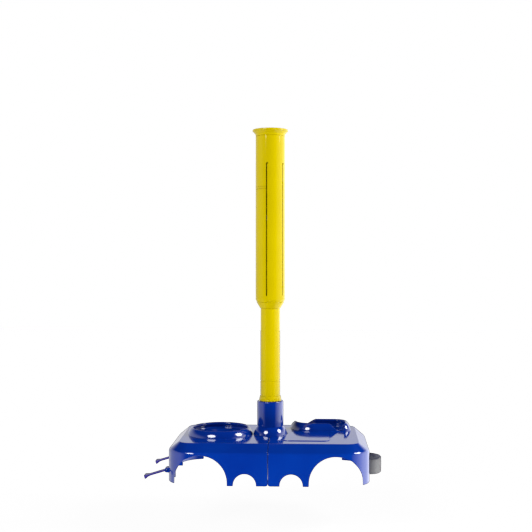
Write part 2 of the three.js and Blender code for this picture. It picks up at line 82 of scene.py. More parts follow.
WALL_X = RIGHT_HIGH.x          # outside of the end walls
WALL_Y = RIGHT_HIGH.y          # outside of the front and rear walls
SOCKET_R = 27.5
SOCKET_TOP = SOCKET_HIGH.z
TUBE_R = TUBE_HIGH.x
SLIDE_BORE_R = TUBE_R + 0.3      # bore of the parts that sit on the tube
BARREL_R = SLEEVE_HIGH.x
CUP_R = CUP_HIGH.x

# ---- sizes of the base, as the CAD has them ----

DECK_Z = 81.0
CREASE_Z = 64.0
SLOPE_INSET = 22.0
WALL_CORNER_R = 60.0
DECK_CORNER_R = 25.0
WALL = 3.0
SEAM_HALF_GAP = 0.5
EDGE_R = 0.8                   # rounding on cut edges
SMALL_ARCH = (46.7, 0.3, 23.7)
BIG_ARCH = (136.5, 4.75, 54.9)
REAR_ARCH = (106.0, 4.0, 52.0)
SIDE_ARCH = (0.0, 4.0, 56.0)
FLANGE = 10.0
HINGE_X = 4.15
HINGE_Z = 4.0
KNUCKLE_R = 3.7
PIN_R = 1.5
LINK_Y = 115.0
LINK_HALF = 3.0
KNUCKLE_END = 11.5
PIN_HOLE_R = PIN_R + 0.3
FLANK_FROM = math.radians(10)   # the raised rims' flanks are arcs that run between these angles
FLANK_TO = math.radians(48)
CREST_R = 2.0
DISH = (-106.4, -3.0)
DISH_FOOT_R = 69.5
DISH_FLANK_R = 25.0
CRADLE = (42.0, 174.0, 29.0, 109.0)
CRADLE_RADII = (34.0, 20.0, 50.0, 20.0)   # rear right, rear left, front left, front right
CRADLE_FLANK_R = 27.5
POCKET_INSET = 12.0
POCKET_FLOOR = 74.0
FRONT_DIP = (127.0, 146.0, 156.0, 165.0)
REAR_DIP = (73.0, 98.0, 72.0, 84.0)
DIP_Z = 83.0
PAD = (27.0, 126.0, -82.0, 18.0)
PAD_R = 15.0
PAD_HEIGHT = 1.2
DOME_R = 36.0
DOME_Z = 98.0
DOME_FROM = math.radians(9)     # the flank starts this far above level
DOME_SWEEP = 38                 # and its arc is this many degrees long
SCREWS = [(31 * math.cos(math.radians(a)), 31 * math.sin(math.radians(a))) for a in (-62, 0, 62)]
LATCH_Y = 74.0
LATCH_Z = 19.0
LATCH_X = -211.0
LATCH_LENGTH = 48.0
LATCH_DROOP = 16.9
LATCH_SLOT = (9.5, 17.2, 29.9)
STRAP_Y = 40.0
SLOT_COUNT = 5
SLOT_FIRST = -12.6
SLOT_WIDTH = 2.4
SLOT_Z = (377.0, 658.5)
TUBE_GROOVE_Z = 195.0
SCORE_HEIGHTS = (603.5, 608.0)   # two shallow lines round the front of the barrel
SCORE_DEPTH = 0.9


# ---- outlines and profiles ----

def arc(centre, radii, start, end, steps):
    """Points on an arc of an ellipse, from start to end in degrees."""
    out = []
    for i in range(steps + 1):
        a = math.radians(start + (end - start) * i / steps)
        out.append((centre[0] + radii[0] * math.cos(a), centre[1] + radii[1] * math.sin(a)))
    return out


def rounded_path(corners, steps=5, closed=False):
    """A line through (x, y, radius) corners with each corner rounded to its radius."""
    out = []
    count = len(corners)
    for i, (x, y, radius) in enumerate(corners):
        at_end = not closed and i in (0, count - 1)
        if at_end or radius <= 0:
            out.append((x, y))
            continue
        here = Vector((x, y))
        back = Vector(corners[i - 1][:2]) - here
        ahead = Vector(corners[(i + 1) % count][:2]) - here
        angle = back.angle(ahead)
        reach = min(radius / math.tan(angle / 2), 0.49 * back.length, 0.49 * ahead.length)
        start = here + back.normalized() * reach
        end = here + ahead.normalized() * reach
        radius = reach * math.tan(angle / 2)
        middle = here + (back.normalized() + ahead.normalized()).normalized() * radius / math.sin(angle / 2)
        a0 = math.atan2(start.y - middle.y, start.x - middle.x)
        a1 = math.atan2(end.y - middle.y, end.x - middle.x)
        turn = (a1 - a0 + math.pi) % (2 * math.pi) - math.pi
        for k in range(steps + 1):
            a = a0 + turn * k / steps
            out.append((middle.x + radius * math.cos(a), middle.y + radius * math.sin(a)))
    return out


def mix(a, b, t):
    """The value a share t of the way from a to b."""
    return a + (b - a) * t


def rounded_rect(x0, x1, y0, y1, r, steps=16, along=1):
    """A rounded rectangle from its rear right corner, as (x, y, outward x, outward y).

    r is one radius or four, and the straight sides are cut into equal parts.
    """
    radii = r if isinstance(r, (tuple, list)) else (r, r, r, r)
    centres = [(x1 - radii[0], y1 - radii[0]), (x0 + radii[1], y1 - radii[1]),
               (x0 + radii[2], y0 + radii[2]), (x1 - radii[3], y0 + radii[3])]
    turns = []
    for i, (cx, cy) in enumerate(centres):
        ways = arc((0, 0), (1, 1), 90 * i, 90 * i + 90, steps)
        turns.append([(cx + radii[i] * nx, cy + radii[i] * ny, nx, ny) for nx, ny in ways])
    out = []
    for i, turn in enumerate(turns):
        out += turn
        end, ahead = turn[-1], turns[(i + 1) % 4][0]
        for k in range(1, along):
            t = k / along
            out.append((mix(end[0], ahead[0], t), mix(end[1], ahead[1], t), end[2], end[3]))
    return out


def flat(points):
    """Only the places of points that also carry a direction."""
    return [(p[0], p[1]) for p in points]


def arch_outline(across, z, r, grow, foot=-6.0, steps=48):
    """An arch seen square on, with its edge moved out by grow."""
    wide = r + grow
    return [(across + wide, foot)] + arc((across, z), (wide, wide), 0, 180, steps) + [(across - wide, foot)]


# ---- meshes ----

def make(name, verts, faces):
    """A mesh object from points in millimetres, with its faces turned outwards."""
    mesh = bpy.data.meshes.new(name)
    mesh.from_pydata([Vector(v) * MM for v in verts], [], faces)
    work = bmesh.new()
    work.from_mesh(mesh)
    bmesh.ops.recalc_face_normals(work, faces=work.faces)
    work.to_mesh(mesh)
    work.free()
    obj = bpy.data.objects.new(name, mesh)
    SCENE.collection.objects.link(obj)
    return obj


def loft(name, rings):
    """Rings of equal length joined in order, with flat ends."""
    count = len(rings[0])
    verts = [p for ring in rings for p in ring]
    faces = []
    for i in range(len(rings) - 1):
        a = i * count
        b = a + count
        for k in range(count):
            n = (k + 1) % count
            faces.append((a + k, a + n, b + n, b + k))
    faces.append(tuple(range(count)))
    last = (len(rings) - 1) * count
    faces.append(tuple(range(last, last + count)))
    return make(name, verts, faces)


def lathe(name, profile, segments=96):
    """A (radius, height) profile turned about Z: it ends on the axis, or else closes on itself."""
    on_axis = profile[0][0] < 1e-6
    verts, rows, faces = [], [], []
    for r, z in profile:
        if r < 1e-6:
            rows.append([len(verts)] * segments)
            verts.append((0, 0, z))
            continue
        rows.append(list(range(len(verts), len(verts) + segments)))
        for k in range(segments):
            a = 2 * math.pi * k / segments
            verts.append((r * math.cos(a), r * math.sin(a), z))
    spans = len(rows) - 1 if on_axis else len(rows)
    for i in range(spans):
        a, b = rows[i], rows[(i + 1) % len(rows)]
        for k in range(segments):
            n = (k + 1) % segments
            corners = [a[k], a[n], b[n], b[k]]
            faces.append(tuple(dict.fromkeys(corners)))
    return make(name, verts, [f for f in faces if len(f) > 2])


def prism(name, outline, low, high, axis="z"):
    """A flat outline pushed along an axis. The outline lies in the other two axes, in X, Y, Z order."""
    place = {
        "z": lambda u, v, w: (u, v, w),
        "y": lambda u, v, w: (u, w, v),
        "x": lambda u, v, w: (w, u, v),
    }[axis]
    return loft(name, [[place(u, v, w) for u, v in outline] for w in (low, high)])


def block(name, x0, x1, y0, y1, z0, z1):
    """A box between two values on each axis."""
    return prism(name, [(x0, y0), (x1, y0), (x1, y1), (x0, y1)], z0, z1)


def rod(name, x, z, r, y0, y1, steps=48):
    """A round rod along Y."""
    return prism(name, arc((x, z), (r, r), 0, 360 - 360 / steps, steps - 1), y0, y1, "y")


def move(obj, x=0.0, y=0.0, z=0.0):
    obj.data.transform(Matrix.Translation(Vector((x, y, z)) * MM))
    return obj


def apply_modifiers(obj):
    """Turns a piece's modifiers into its mesh."""
    graph = bpy.context.evaluated_depsgraph_get()
    mesh = bpy.data.meshes.new_from_object(obj.evaluated_get(graph))
    old = obj.data
    obj.modifiers.clear()
    obj.data = mesh
    bpy.data.meshes.remove(old)


def boolean(target, operation, tools):
    """Combines the target with each tool in turn, which uses the tools up."""
    for tool in tools:
        step = target.modifiers.new("step", "BOOLEAN")
        step.operation = operation
        step.solver = "MANIFOLD"
        step.object = tool
        apply_modifiers(target)
        mesh = tool.data
        bpy.data.objects.remove(tool)
        bpy.data.meshes.remove(mesh)
    return target


def cut(target, *tools):
    return boolean(target, "DIFFERENCE", tools)


def join(target, *tools):
    return boolean(target, "UNION", tools)


def common(target, tool):
    return boolean(target, "INTERSECT", [tool])


def bevel(obj, width, angle=40, segments=3):
    """Rounds the sharp edges of a piece."""
    step = obj.modifiers.new("bevel", "BEVEL")
    step.width = width * MM
    step.segments = segments
    step.limit_method = "ANGLE"
    step.angle_limit = math.radians(angle)
    step.use_clamp_overlap = True
    apply_modifiers(obj)
    return obj


def surface(obj, material, body, replaced, sharp=34):
    """Shades a finished piece, gives it its material and puts it on its body."""
    mesh = move(obj, POST_X).data
    mesh.materials.clear()
    mesh.materials.append(material)
    mesh.polygons.foreach_set("material_index", [0] * len(mesh.polygons))
    mesh.polygons.foreach_set("use_smooth", [True] * len(mesh.polygons))
    mesh.set_sharp_from_angle(angle=math.radians(sharp))
    weigh = obj.modifiers.new("weighted_normals", "WEIGHTED_NORMAL")
    weigh.keep_sharp = True
    weigh.weight = 80
    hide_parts(*replaced)
    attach(obj, body)
    return obj


# ---- materials ----

def srgb(r, g, b):
    """A colour given as 0-255 display values, as linear light."""
    def linear(c):
        c /= 255
        return c / 12.92 if c <= 0.04045 else ((c + 0.055) / 1.055) ** 2.4
    return (linear(r), linear(g), linear(b), 1.0)


class Nodes:
    """A short way to write a material's nodes."""

    def __init__(self, name=None, tree=None):
        if tree is None:
            self.material = bpy.data.materials.new(name)
            self.material.use_nodes = True
            tree = self.material.node_tree
        self.tree = tree
        self.shader = tree.nodes.get("Principled BSDF")

    def add(self, kind, inputs=None, **settings):
        node = self.tree.nodes.new("ShaderNode" + kind)
        for key, value in settings.items():
            setattr(node, key, value)
        for key, value in (inputs or {}).items():
            if isinstance(value, bpy.types.NodeSocket):
                self.tree.links.new(value, node.inputs[key])
            else:
                node.inputs[key].default_value = value
        return node

    def set(self, **values):
        for key, value in values.items():
            socket = self.shader.inputs[key.replace("_", " ")]
            if isinstance(value, bpy.types.NodeSocket):
                self.tree.links.new(value, socket)
            else:
                socket.default_value = value

    def place(self):
        return self.add("TexCoord").outputs["Object"]

    def noise(self, scale, detail=3.0, roughness=0.55, place=None):
        node = self.add("TexNoise", {"Vector": place or self.place(), "Scale": scale, "Detail": detail,
                                     "Roughness": roughness})
        return node.outputs["Fac"]

    def ramp(self, factor, stops):
        node = self.add("ValToRGB", {"Fac": factor})
        elements = node.color_ramp.elements
        while len(elements) < len(stops):
            elements.new(0.5)
        for element, (position, colour) in zip(elements, stops):
            element.position = position
            element.color = colour
        return node.outputs["Color"]

    def spread(self, value, low, high, from_low=0.3, from_high=0.7):
        node = self.add("MapRange", {"Value": value, "From Min": from_low, "From Max": from_high,
                                     "To Min": low, "To Max": high})
        return node.outputs["Result"]

    def sum_of(self, a, b):
        return self.add("Math", {0: a, 1: b}, operation="ADD").outputs[0]

    def times(self, a, b):
        return self.add("Math", {0: a, 1: b}, operation="MULTIPLY").outputs[0]

    def wave(self, a, turns, operation="SINE"):
        """The sine or cosine of a value that goes round a number of times for each 1."""
        return self.add("Math", {0: self.times(a, 2 * math.pi * turns)}, operation=operation).outputs[0]

    def bump(self, height, strength, distance, normal=None):
        inputs = {"Height": height, "Strength": strength, "Distance": distance}
        if normal is not None:
            inputs["Normal"] = normal
        return self.add("Bump", inputs).outputs["Normal"]


def moulded_plastic(name, deep, light, rough, gloss=0.5, ripple=0.25):
    """Moulded plastic: faint flow marks in the colour, a slight ripple, fine dust scuffs in the gloss."""
    n = Nodes(name)
    place = n.place()
    flow = n.noise(7.0, 4.0, 0.6, place)
    stretched = n.add("Mapping", {"Vector": place, "Scale": (1.0, 1.0, 6.0)}).outputs["Vector"]
    scuffs = n.noise(160.0, 6.0, 0.75, stretched)
    colour = n.ramp(flow, [(0.3, deep), (0.7, light)])
    ripples = n.noise(38.0, 1.5, 0.4, place)
    grain = n.noise(900.0, 2.0, 0.5, place)
    normal = n.bump(ripples, ripple, 0.0004)
    normal = n.bump(grain, 0.06, 0.00005, normal)
    n.set(Base_Color=colour, Roughness=n.spread(scuffs, rough[0], rough[1], 0.35, 0.75), Normal=normal)
    n.shader.inputs["IOR"].default_value = 1.55
    n.shader.inputs["Specular IOR Level"].default_value = gloss
    return n.material


THREADS_ALONG = 110.0          # over the strap's whole length and width
THREADS_ACROSS = 16.0


def webbing_material():
    """Woven webbing: ribs across the strap with a twill inside them, from the strap's own UV map."""
    n = Nodes("webbing")
    uv = n.add("TexCoord").outputs["UV"]
    parts = n.add("SeparateXYZ", {"Vector": uv})
    along = parts.outputs["X"]
    across = parts.outputs["Y"]
    ribs = n.wave(along, THREADS_ALONG)
    threads = n.times(across, THREADS_ACROSS)
    twill = n.wave(n.sum_of(n.times(along, THREADS_ALONG), threads), 1)
    weave = n.times(twill, n.wave(threads, 1, "COSINE"))
    height = n.sum_of(weave, ribs)
    fuzz = n.noise(1500.0, 2.0, 0.6)
    tone = n.sum_of(n.spread(height, 0.25, 0.75, -1.4, 1.4), n.spread(fuzz, -0.14, 0.14))
    colour = n.ramp(tone, [(0.2, srgb(36, 36, 39)), (0.85, srgb(122, 122, 126))])
    n.set(Base_Color=colour, Roughness=n.spread(fuzz, 0.62, 0.86), Normal=n.bump(height, 0.7, 0.00035))
    n.shader.inputs["Sheen Weight"].default_value = 0.6
    n.shader.inputs["Sheen Roughness"].default_value = 0.45
    return n.material


def steel_material():
    """Zinc-plated steel with fine streaks along Y."""
    n = Nodes("zinc_plated_steel")
    place = n.place()
    drawn = n.add("Mapping", {"Vector": place, "Scale": (1.0, 0.08, 1.0)}).outputs["Vector"]
    streak = n.noise(400.0, 4.0, 0.6, drawn)
    n.set(Base_Color=n.ramp(streak, [(0.3, srgb(150, 152, 156)), (0.7, srgb(196, 198, 200))]),
          Roughness=n.spread(streak, 0.22, 0.42), Metallic=1.0, Normal=n.bump(streak, 0.15, 0.00005))
    return n.material


BLUE = moulded_plastic("glossy_blue_plastic", srgb(0, 38, 130), srgb(0, 47, 142), (0.06, 0.14),
                       gloss=0.7, ripple=0.1)
LATCH = moulded_plastic("satin_blue_plastic", srgb(44, 38, 116), srgb(60, 52, 132), (0.26, 0.4), ripple=0.4)
YELLOW = moulded_plastic("yellow_plastic", srgb(180, 160, 0), srgb(190, 171, 0), (0.06, 0.12),
                         gloss=0.12, ripple=0.1)
BLACK = moulded_plastic("black_plastic", srgb(18, 18, 20), srgb(30, 30, 33), (0.35, 0.5), ripple=0.4)
WEBBING = webbing_material()
STEEL = steel_material()


# ---- base halves ----

def envelope(name, wall_inset, crease_r, deck_r, foot):
    """The outside of the whole base, or a copy moved in by wall_inset: level outlines, one on another."""
    path, deck_inset = envelope_path(wall_inset, crease_r, deck_r, foot)
    wall_r = WALL_CORNER_R - wall_inset
    deck_corner_r = DECK_CORNER_R + SLOPE_INSET - deck_inset
    rings = []
    for inset, z in path:
        up_slope = min(1.0, (inset - wall_inset) / (deck_inset - wall_inset))
        r = mix(wall_r, deck_corner_r, up_slope) - max(0.0, inset - deck_inset)
        outline = rounded_rect(-WALL_X + inset, WALL_X - inset, -WALL_Y + inset, WALL_Y - inset, r, 24)
        rings.append([(x, y, z) for x, y in flat(outline)])
    return loft(name, rings)


def envelope_path(inset, crease_r, deck_r, foot):
    """The base's section as (inset, height) points, and the inset at which its deck begins."""
    turn = math.atan2(SLOPE_INSET, DECK_Z - CREASE_Z)
    crease_z = CREASE_Z - inset * math.tan(turn / 2)
    deck_inset = SLOPE_INSET + inset * math.tan((math.pi / 2 - turn) / 2)
    corners = [(inset, foot, 0), (inset, crease_z, crease_r), (deck_inset, DECK_Z - inset, deck_r),
               (deck_inset + 12, DECK_Z - inset, 0)]
    return rounded_path(corners, 7), deck_inset


def seam_rounding(side):
    """Everything outside the case's own section, moved in a little towards the seam."""
    rings = []
    reach = EDGE_R
    for step in range(5):
        t = math.radians(90 * step / 4)
        x = SEAM_HALF_GAP + reach * (1 - math.sin(t))
        inset = reach * (1 - math.cos(t))
        half, _ = envelope_path(inset, 9.0, 3.0, -4.0)
        section = [(-WALL_Y + i, z) for i, z in half] + [(WALL_Y - i, z) for i, z in reversed(half)]
        rings.append([(side * x, y, z) for y, z in section])
    rings.append([(0.0, y, z) for _, y, z in rings[-1]])
    far = [(side * (SEAM_HALF_GAP + reach + 0.5), y, z) for _, y, z in rings[0]]
    core = loft("core", [far] + rings)
    slab = block("slab", *sorted((side * -0.2, side * (SEAM_HALF_GAP + reach))), -200, 200, 0.2, 140)
    return cut(slab, core)


def flared_arch(name, across, z, r, axis, faces):
    """A cutter whose edge opens out where it leaves the wall at each of the two faces."""
    (outer, inner) = faces
    towards = 1 if inner > outer else -1
    rings = [(outer - towards * 6, EDGE_R)]
    for step in range(5):
        t = math.radians(90 * step / 4)
        rings.append((outer + towards * EDGE_R * (1 - math.cos(t)), EDGE_R * (1 - math.sin(t))))
    for step in range(5):
        t = math.radians(90 - 90 * step / 4)
        rings.append((inner - towards * EDGE_R * (1 - math.cos(t)), EDGE_R * (1 - math.sin(t))))
    rings.append((inner + towards * 6, EDGE_R))
    made = []
    for w, grow in rings:
        outline = arch_outline(across, z, r, grow)
        if axis == "y":
            made.append([(u, w, v) for u, v in outline])
        else:
            made.append([(w, u, v) for u, v in outline])
    return loft(name, made)


def plain_half(name, side):
    """Walls, deck, seam wall, arches and hinge knuckles of one half."""
    x0, x1 = sorted((side * SEAM_HALF_GAP, side * 260))
    half = envelope(name, 0.0, 9.0, 3.0, -6.0)
    common(half, block("keep", x0, x1, -200, 200, 0, 140))
    hollow = envelope("hollow", WALL, 6.0, 2.0, -8.0)
    x0, x1 = sorted((side * (SEAM_HALF_GAP + WALL), side * 260))
    common(hollow, block("keep", x0, x1, -200, 200, -20, 140))
    cut(half, hollow, seam_rounding(side))

    front, back = (-WALL_Y, -WALL_Y + WALL), (WALL_Y, WALL_Y - WALL)
    for (across, z, r), faces in ((SMALL_ARCH, front), (BIG_ARCH, front), (REAR_ARCH, back)):
        cut(half, flared_arch("arch", side * across, z, r, "y", faces))
    across, z, r = BIG_ARCH
    room = arch_outline(side * across, z, r, 0)
    cut(half, prism("deep_arch", room, -WALL_Y + 4, -WALL_Y + 45, "y"))

    pin_x = side * HINGE_X
    x0, x1 = sorted((0.0, pin_x))
    edge = block("edge", x0, x1, -200, 200, -1, HINGE_Z)
    cut(edge, rod("roll", pin_x, HINGE_Z, KNUCKLE_R, -210, 210, 64))
    cut(half, edge)
    for end in (-1, 1):
        y0, y1 = end * LINK_Y - KNUCKLE_END, end * LINK_Y + KNUCKLE_END
        join(half, rod("knuckle", pin_x, HINGE_Z, KNUCKLE_R, y0, y1, 64))
        root_x = side * (SEAM_HALF_GAP + 1)
        web = [(root_x, 3.0), (pin_x + side * 2.2, 6.2), (root_x, 17.0)]
        for place in (y0 + 1.5, y1 - 3.5):
            join(half, prism("web", web, place, place + 2, "y"))
        room = LINK_HALF + 0.3
        cut(half, block("link_room", -12, 12, end * LINK_Y - room, end * LINK_Y + room, -1, 10))
        cut(half, rod("pin_hole", pin_x, HINGE_Z, PIN_HOLE_R, y0 - 1, y1 + 1, 32))
    return half


def rim_section(flank_r, top):
    """(inset, height) points up a rim's flank and over its crest, for a crest at the height top."""
    start = math.sin(FLANK_FROM)
    end = math.asin((top - DECK_Z - CREST_R + flank_r * start) / (flank_r - CREST_R))
    out = []
    for i in range(13):
        a = mix(FLANK_FROM, end, i / 12)
        run = flank_r * (math.cos(FLANK_FROM) - math.cos(a))
        out.append((run, DECK_Z + flank_r * (math.sin(a) - start)))
    inset = out[-1][0] + CREST_R * math.cos(end)
    z = out[-1][1] - CREST_R * math.sin(end)
    for i in range(1, 11):
        a = mix(end, math.pi, i / 10)
        out.append((inset - CREST_R * math.cos(a), z + CREST_R * math.sin(a)))
    return out


def rim_top(flank_r):
    """The height of a full rim's crest."""
    start, end = math.sin(FLANK_FROM), math.sin(FLANK_TO)
    return DECK_Z + CREST_R + (flank_r - CREST_R) * end - flank_r * start


def dish_piece():
    """A raised ring that leans in over a shallow bowl, open below as a moulding is."""
    foot = DISH_FOOT_R
    under = [(0, 66, 0), (31, 67.4, 30), (49.6, 73.6, 10), (54.6, 79.4, 2), (62, 80.2, 1), (65.4, 78.4, 1),
             (foot + 1.6, 78.4, 0.4), (foot + 1.6, 80.97, 0), (foot + 1.2, 81.0, 0), (foot, 81.0, 1.0)]
    rim = [(foot - inset, z, 0) for inset, z in rim_section(DISH_FLANK_R, rim_top(DISH_FLANK_R))[1:]]
    bowl = [(59.6, 90.4, 4), (62.3, 87.2, 3), (63.0, 84.4, 1.5), (61.0, 83.2, 1.0), (54.0, 82.4, 2.0),
            (47.5, 75.6, 12), (30, 70.4, 40), (0, 69, 0)]
    return move(lathe("dish", rounded_path(under + rim + bowl, 6), 180), DISH[0], DISH[1])


def left_half():
    """The half with the ball dish, the arch in its end wall and the latches' ears."""
    half = plain_half("left_case", -1)
    well = prism("well", arc((DISH[0], DISH[1]), (63.5, 63.5), 0, 357.5, 143), 74, 84)
    cut(half, well)
    join(half, dish_piece())

    across, z, r = SIDE_ARCH
    outline = arch_outline(across, z, r + WALL, 0, foot=0.0)
    join(half, prism("lining", outline, -WALL_X + 1, -WALL_X + FLANGE, "x"))
    cut(half, flared_arch("side_arch", across, z, r, "x", (-WALL_X, -WALL_X + FLANGE)))

    for end in (-1, 1):
        y = end * LATCH_Y
        for low, high in ((y - 8.4, y - 4.8), (y + 4.8, y + 8.4)):
            ear = [(-WALL_X + 1.5, LATCH_Z + 5.6), (-WALL_X - 1.2, LATCH_Z + 4.6)]
            ear += arc((LATCH_X, LATCH_Z), (4.2, 4.2), 90, 270, 20)
            ear += [(-WALL_X - 1.2, LATCH_Z - 4.6), (-WALL_X + 1.5, LATCH_Z - 5.6)]
            join(half, bevel(prism("ear", ear, low, high, "y"), 0.5, 50, 2))
        cut(half, rod("latch_pin_hole", LATCH_X, LATCH_Z, PIN_HOLE_R, y - 10, y + 10, 32))
    return surface(half, BLUE, "left_base", ["left_base_half"])


def eased(t):
    """A straight run from 0 to 1 with softened ends."""
    t = min(1.0, max(0.0, t))
    return mix(t, t * t * (3 - 2 * t), 0.45)


def cradle_top(x, y):
    """Height of the cradle's rim at a place on its outline: low at two dips, for a slanting bat."""
    full = rim_top(CRADLE_FLANK_R)
    drop = 0.0
    if y < CRADLE[2] + 20:
        fall, low, low_end, rise_end = FRONT_DIP
        if x < low_end:
            drop = eased((x - fall) / (low - fall))
        else:
            drop = eased((rise_end - x) / (rise_end - low_end))
    elif x < 110 and y > 65:
        x_low, x_high, y_low, y_high = REAR_DIP
        drop = min(eased((x_high - x) / (x_high - x_low)), eased((y - y_low) / (y_high - y_low)))
    return mix(full, DIP_Z, drop)


def cradle_piece():
    """The cradle's rim and sunk pan, section by section round its outline."""
    outline = rounded_rect(*CRADLE, CRADLE_RADII, 24, 56)
    sections = []
    for x, y, out_x, out_y in outline:
        rim = rim_section(CRADLE_FLANK_R, cradle_top(x, y))
        edge, edge_z = rim[-1]
        section = [(20.0, 71.0), (10.0, 71.0), (9.0, 72.0), (8.6, 78.1), (-0.9, 78.2),
                   (-0.9, DECK_Z - 0.03), (-0.6, DECK_Z), (-0.2, DECK_Z + 0.25)]
        section += rim
        lean = (cradle_top(x, y) - DIP_Z) / (rim_top(CRADLE_FLANK_R) - DIP_Z)
        for back, down in ((1.6, 3.0), (3.0, 5.2), (4.2, 8.0), (4.6, 10.2), (4.3, 11.6), (3.4, 12.3)):
            section.append((edge - back * lean, edge_z - down * lean - 0.1))
        ledge = mix(80.4, 82.4, lean)
        pan = ((-1.2, ledge), (-0.4, ledge - 0.2), (0.0, ledge - 0.8), (0.1, 77.0), (0.6, 75.2),
               (1.7, 74.3), (3.0, POCKET_FLOOR))
        section += [(POCKET_INSET + further, height) for further, height in pan]
        sections.append([(x - out_x * inset, y - out_y * inset, z) for inset, z in section])
    return loft("cradle", [list(ring) for ring in zip(*sections)])


def right_half():
    """The half with the cradle, the shallow pad, and the strap's and latches' slots."""
    half = plain_half("right_case", 1)
    x0, x1, y0, y1 = CRADLE
    radii = [r - 8 for r in CRADLE_RADII]
    cut(half, prism("well", flat(rounded_rect(x0 + 8, x1 - 8, y0 + 8, y1 - 8, radii)), 74.5, 84))
    join(half, cradle_piece())

    px0, px1, py0, py1 = PAD
    levels = [(-0.6, 80.0), (-0.6, DECK_Z - 0.02), (0.0, DECK_Z + 0.1), (0.35, DECK_Z + 0.45),
              (0.45, DECK_Z + 0.9), (0.85, DECK_Z + PAD_HEIGHT), (4.0, DECK_Z + PAD_HEIGHT)]
    rings = []
    for inset, z in levels:
        outline = rounded_rect(px0 + inset, px1 - inset, py0 + inset, py1 - inset, PAD_R - inset, 12)
        rings.append([(x, y, z) for x, y in flat(outline)])
    pad = loft("pad", rings)
    round_socket = arc((0, 0), (DOME_R + 2, DOME_R + 2), 0, 357, 119)
    cut(pad, prism("round_socket", round_socket, DECK_Z - 5, DECK_Z + 5))
    join(half, pad)

    for x, y in SCREWS:
        cut(half, prism("hole", arc((x, y), (2.2, 2.2), 0, 348.75, 31), 70, 90))

    strap_z = (STRAP_LOW.z + STRAP_HIGH.z) / 2
    for end in (-1, 1):
        y = end * STRAP_Y
        slit = flat(rounded_rect(y - 2.2, y + 2.2, strap_z - 16, strap_z + 16, 1.2, 6))
        cut(half, prism("strap_slit", slit, WALL_X - 10, WALL_X + 5, "x"))
        y = end * LATCH_Y
        half_width, z0, z1 = LATCH_SLOT
        slot = flat(rounded_rect(y - half_width, y + half_width, z0, z1, 2.0, 6))
        cut(half, prism("latch_slot", slot, WALL_X - 10, WALL_X + 5, "x"))
    return surface(half, BLUE, "right_base", ["right_base_half"])


# ---- hinge, latches and strap ----

def hinge_links():
    """The bars that tie each left hinge pin to a right one."""
    for place, end in (("front", -1), ("rear", 1)):
        outline = arc((HINGE_X, HINGE_Z), (KNUCKLE_R, KNUCKLE_R), -90, 90, 20)
        outline += arc((-HINGE_X, HINGE_Z), (KNUCKLE_R, KNUCKLE_R), 90, 270, 20)
        y = end * LINK_Y
        link = prism(f"hinge_link_piece_{place}", outline, y - LINK_HALF, y + LINK_HALF, "y")
        bevel(link, 0.5, 60, 2)
        for x in (-HINGE_X, HINGE_X):
            cut(link, rod("hole", x, HINGE_Z, PIN_HOLE_R, y - 9, y + 9, 32))
        surface(link, BLUE, "hinge_links", [f"hinge_link_{place}"])


def steel_pin(name, x, z, y0, y1, body, node):
    """A plain pin along Y with domed ends."""
    length = y1 - y0
    profile = [(0, 0), (0.7, 0.05), (1.2, 0.3), (PIN_R, 0.8), (PIN_R, length - 0.8), (1.2, length - 0.3),
               (0.7, length - 0.05), (0, length)]
    pin = lathe(name, profile, 40)
    pin.data.transform(Matrix.Rotation(-math.pi / 2, 4, "X"))
    move(pin, x, y0, z)
    return surface(pin, STEEL, body, [node])


def pins():
    """The hinge pins and the latches' pins."""
    reach = KNUCKLE_END - 0.5
    for place, end in (("front", -1), ("rear", 1)):
        y = end * LINK_Y
        steel_pin(f"right_pin_{place}", HINGE_X, HINGE_Z, y - reach, y + reach, "right_base",
                  f"right_hinge_pin_{place}")
        steel_pin(f"left_pin_{place}", -HINGE_X, HINGE_Z, y - reach, y + reach, "left_base",
                  f"left_hinge_pin_{place}")
        y = end * LATCH_Y
        steel_pin(f"latch_hinge_pin_{place}", LATCH_X, LATCH_Z, y - 8.2, y + 8.2, "left_base",
                  f"latch_pin_{place}")


def screws():
    """The three screws that hold the socket from below."""
    for i, (x, y) in enumerate(SCREWS, 1):
        low, high = node_mm(f"socket_screw_{i}")
        head_top = low.z + 2.4
        profile = [(0, low.z)] + arc((0, low.z + 1.5), (3.6, 1.5), -70, 0, 6)
        profile += [(3.6, head_top), (1.6, head_top)]
        pitch, turns = 1.4, 7
        start = head_top + 1.2
        for k in range(turns):
            profile += [(1.15, start + k * pitch), (1.6, start + (k + 0.5) * pitch)]
        profile += [(0.9, high.z - 0.6), (0, high.z)]
        screw = lathe(f"socket_screw_piece_{i}", profile, 48)
        for angle in (0, 90):
            drive = block("drive", -2.1, 2.1, -0.45, 0.45, low.z - 1, low.z + 1.3)
            drive.data.transform(Matrix.Rotation(math.radians(angle), 4, "Z"))
            cut(screw, drive)
        move(screw, x, y)
        surface(screw, STEEL, "right_base", [f"socket_screw_{i}"], 50)


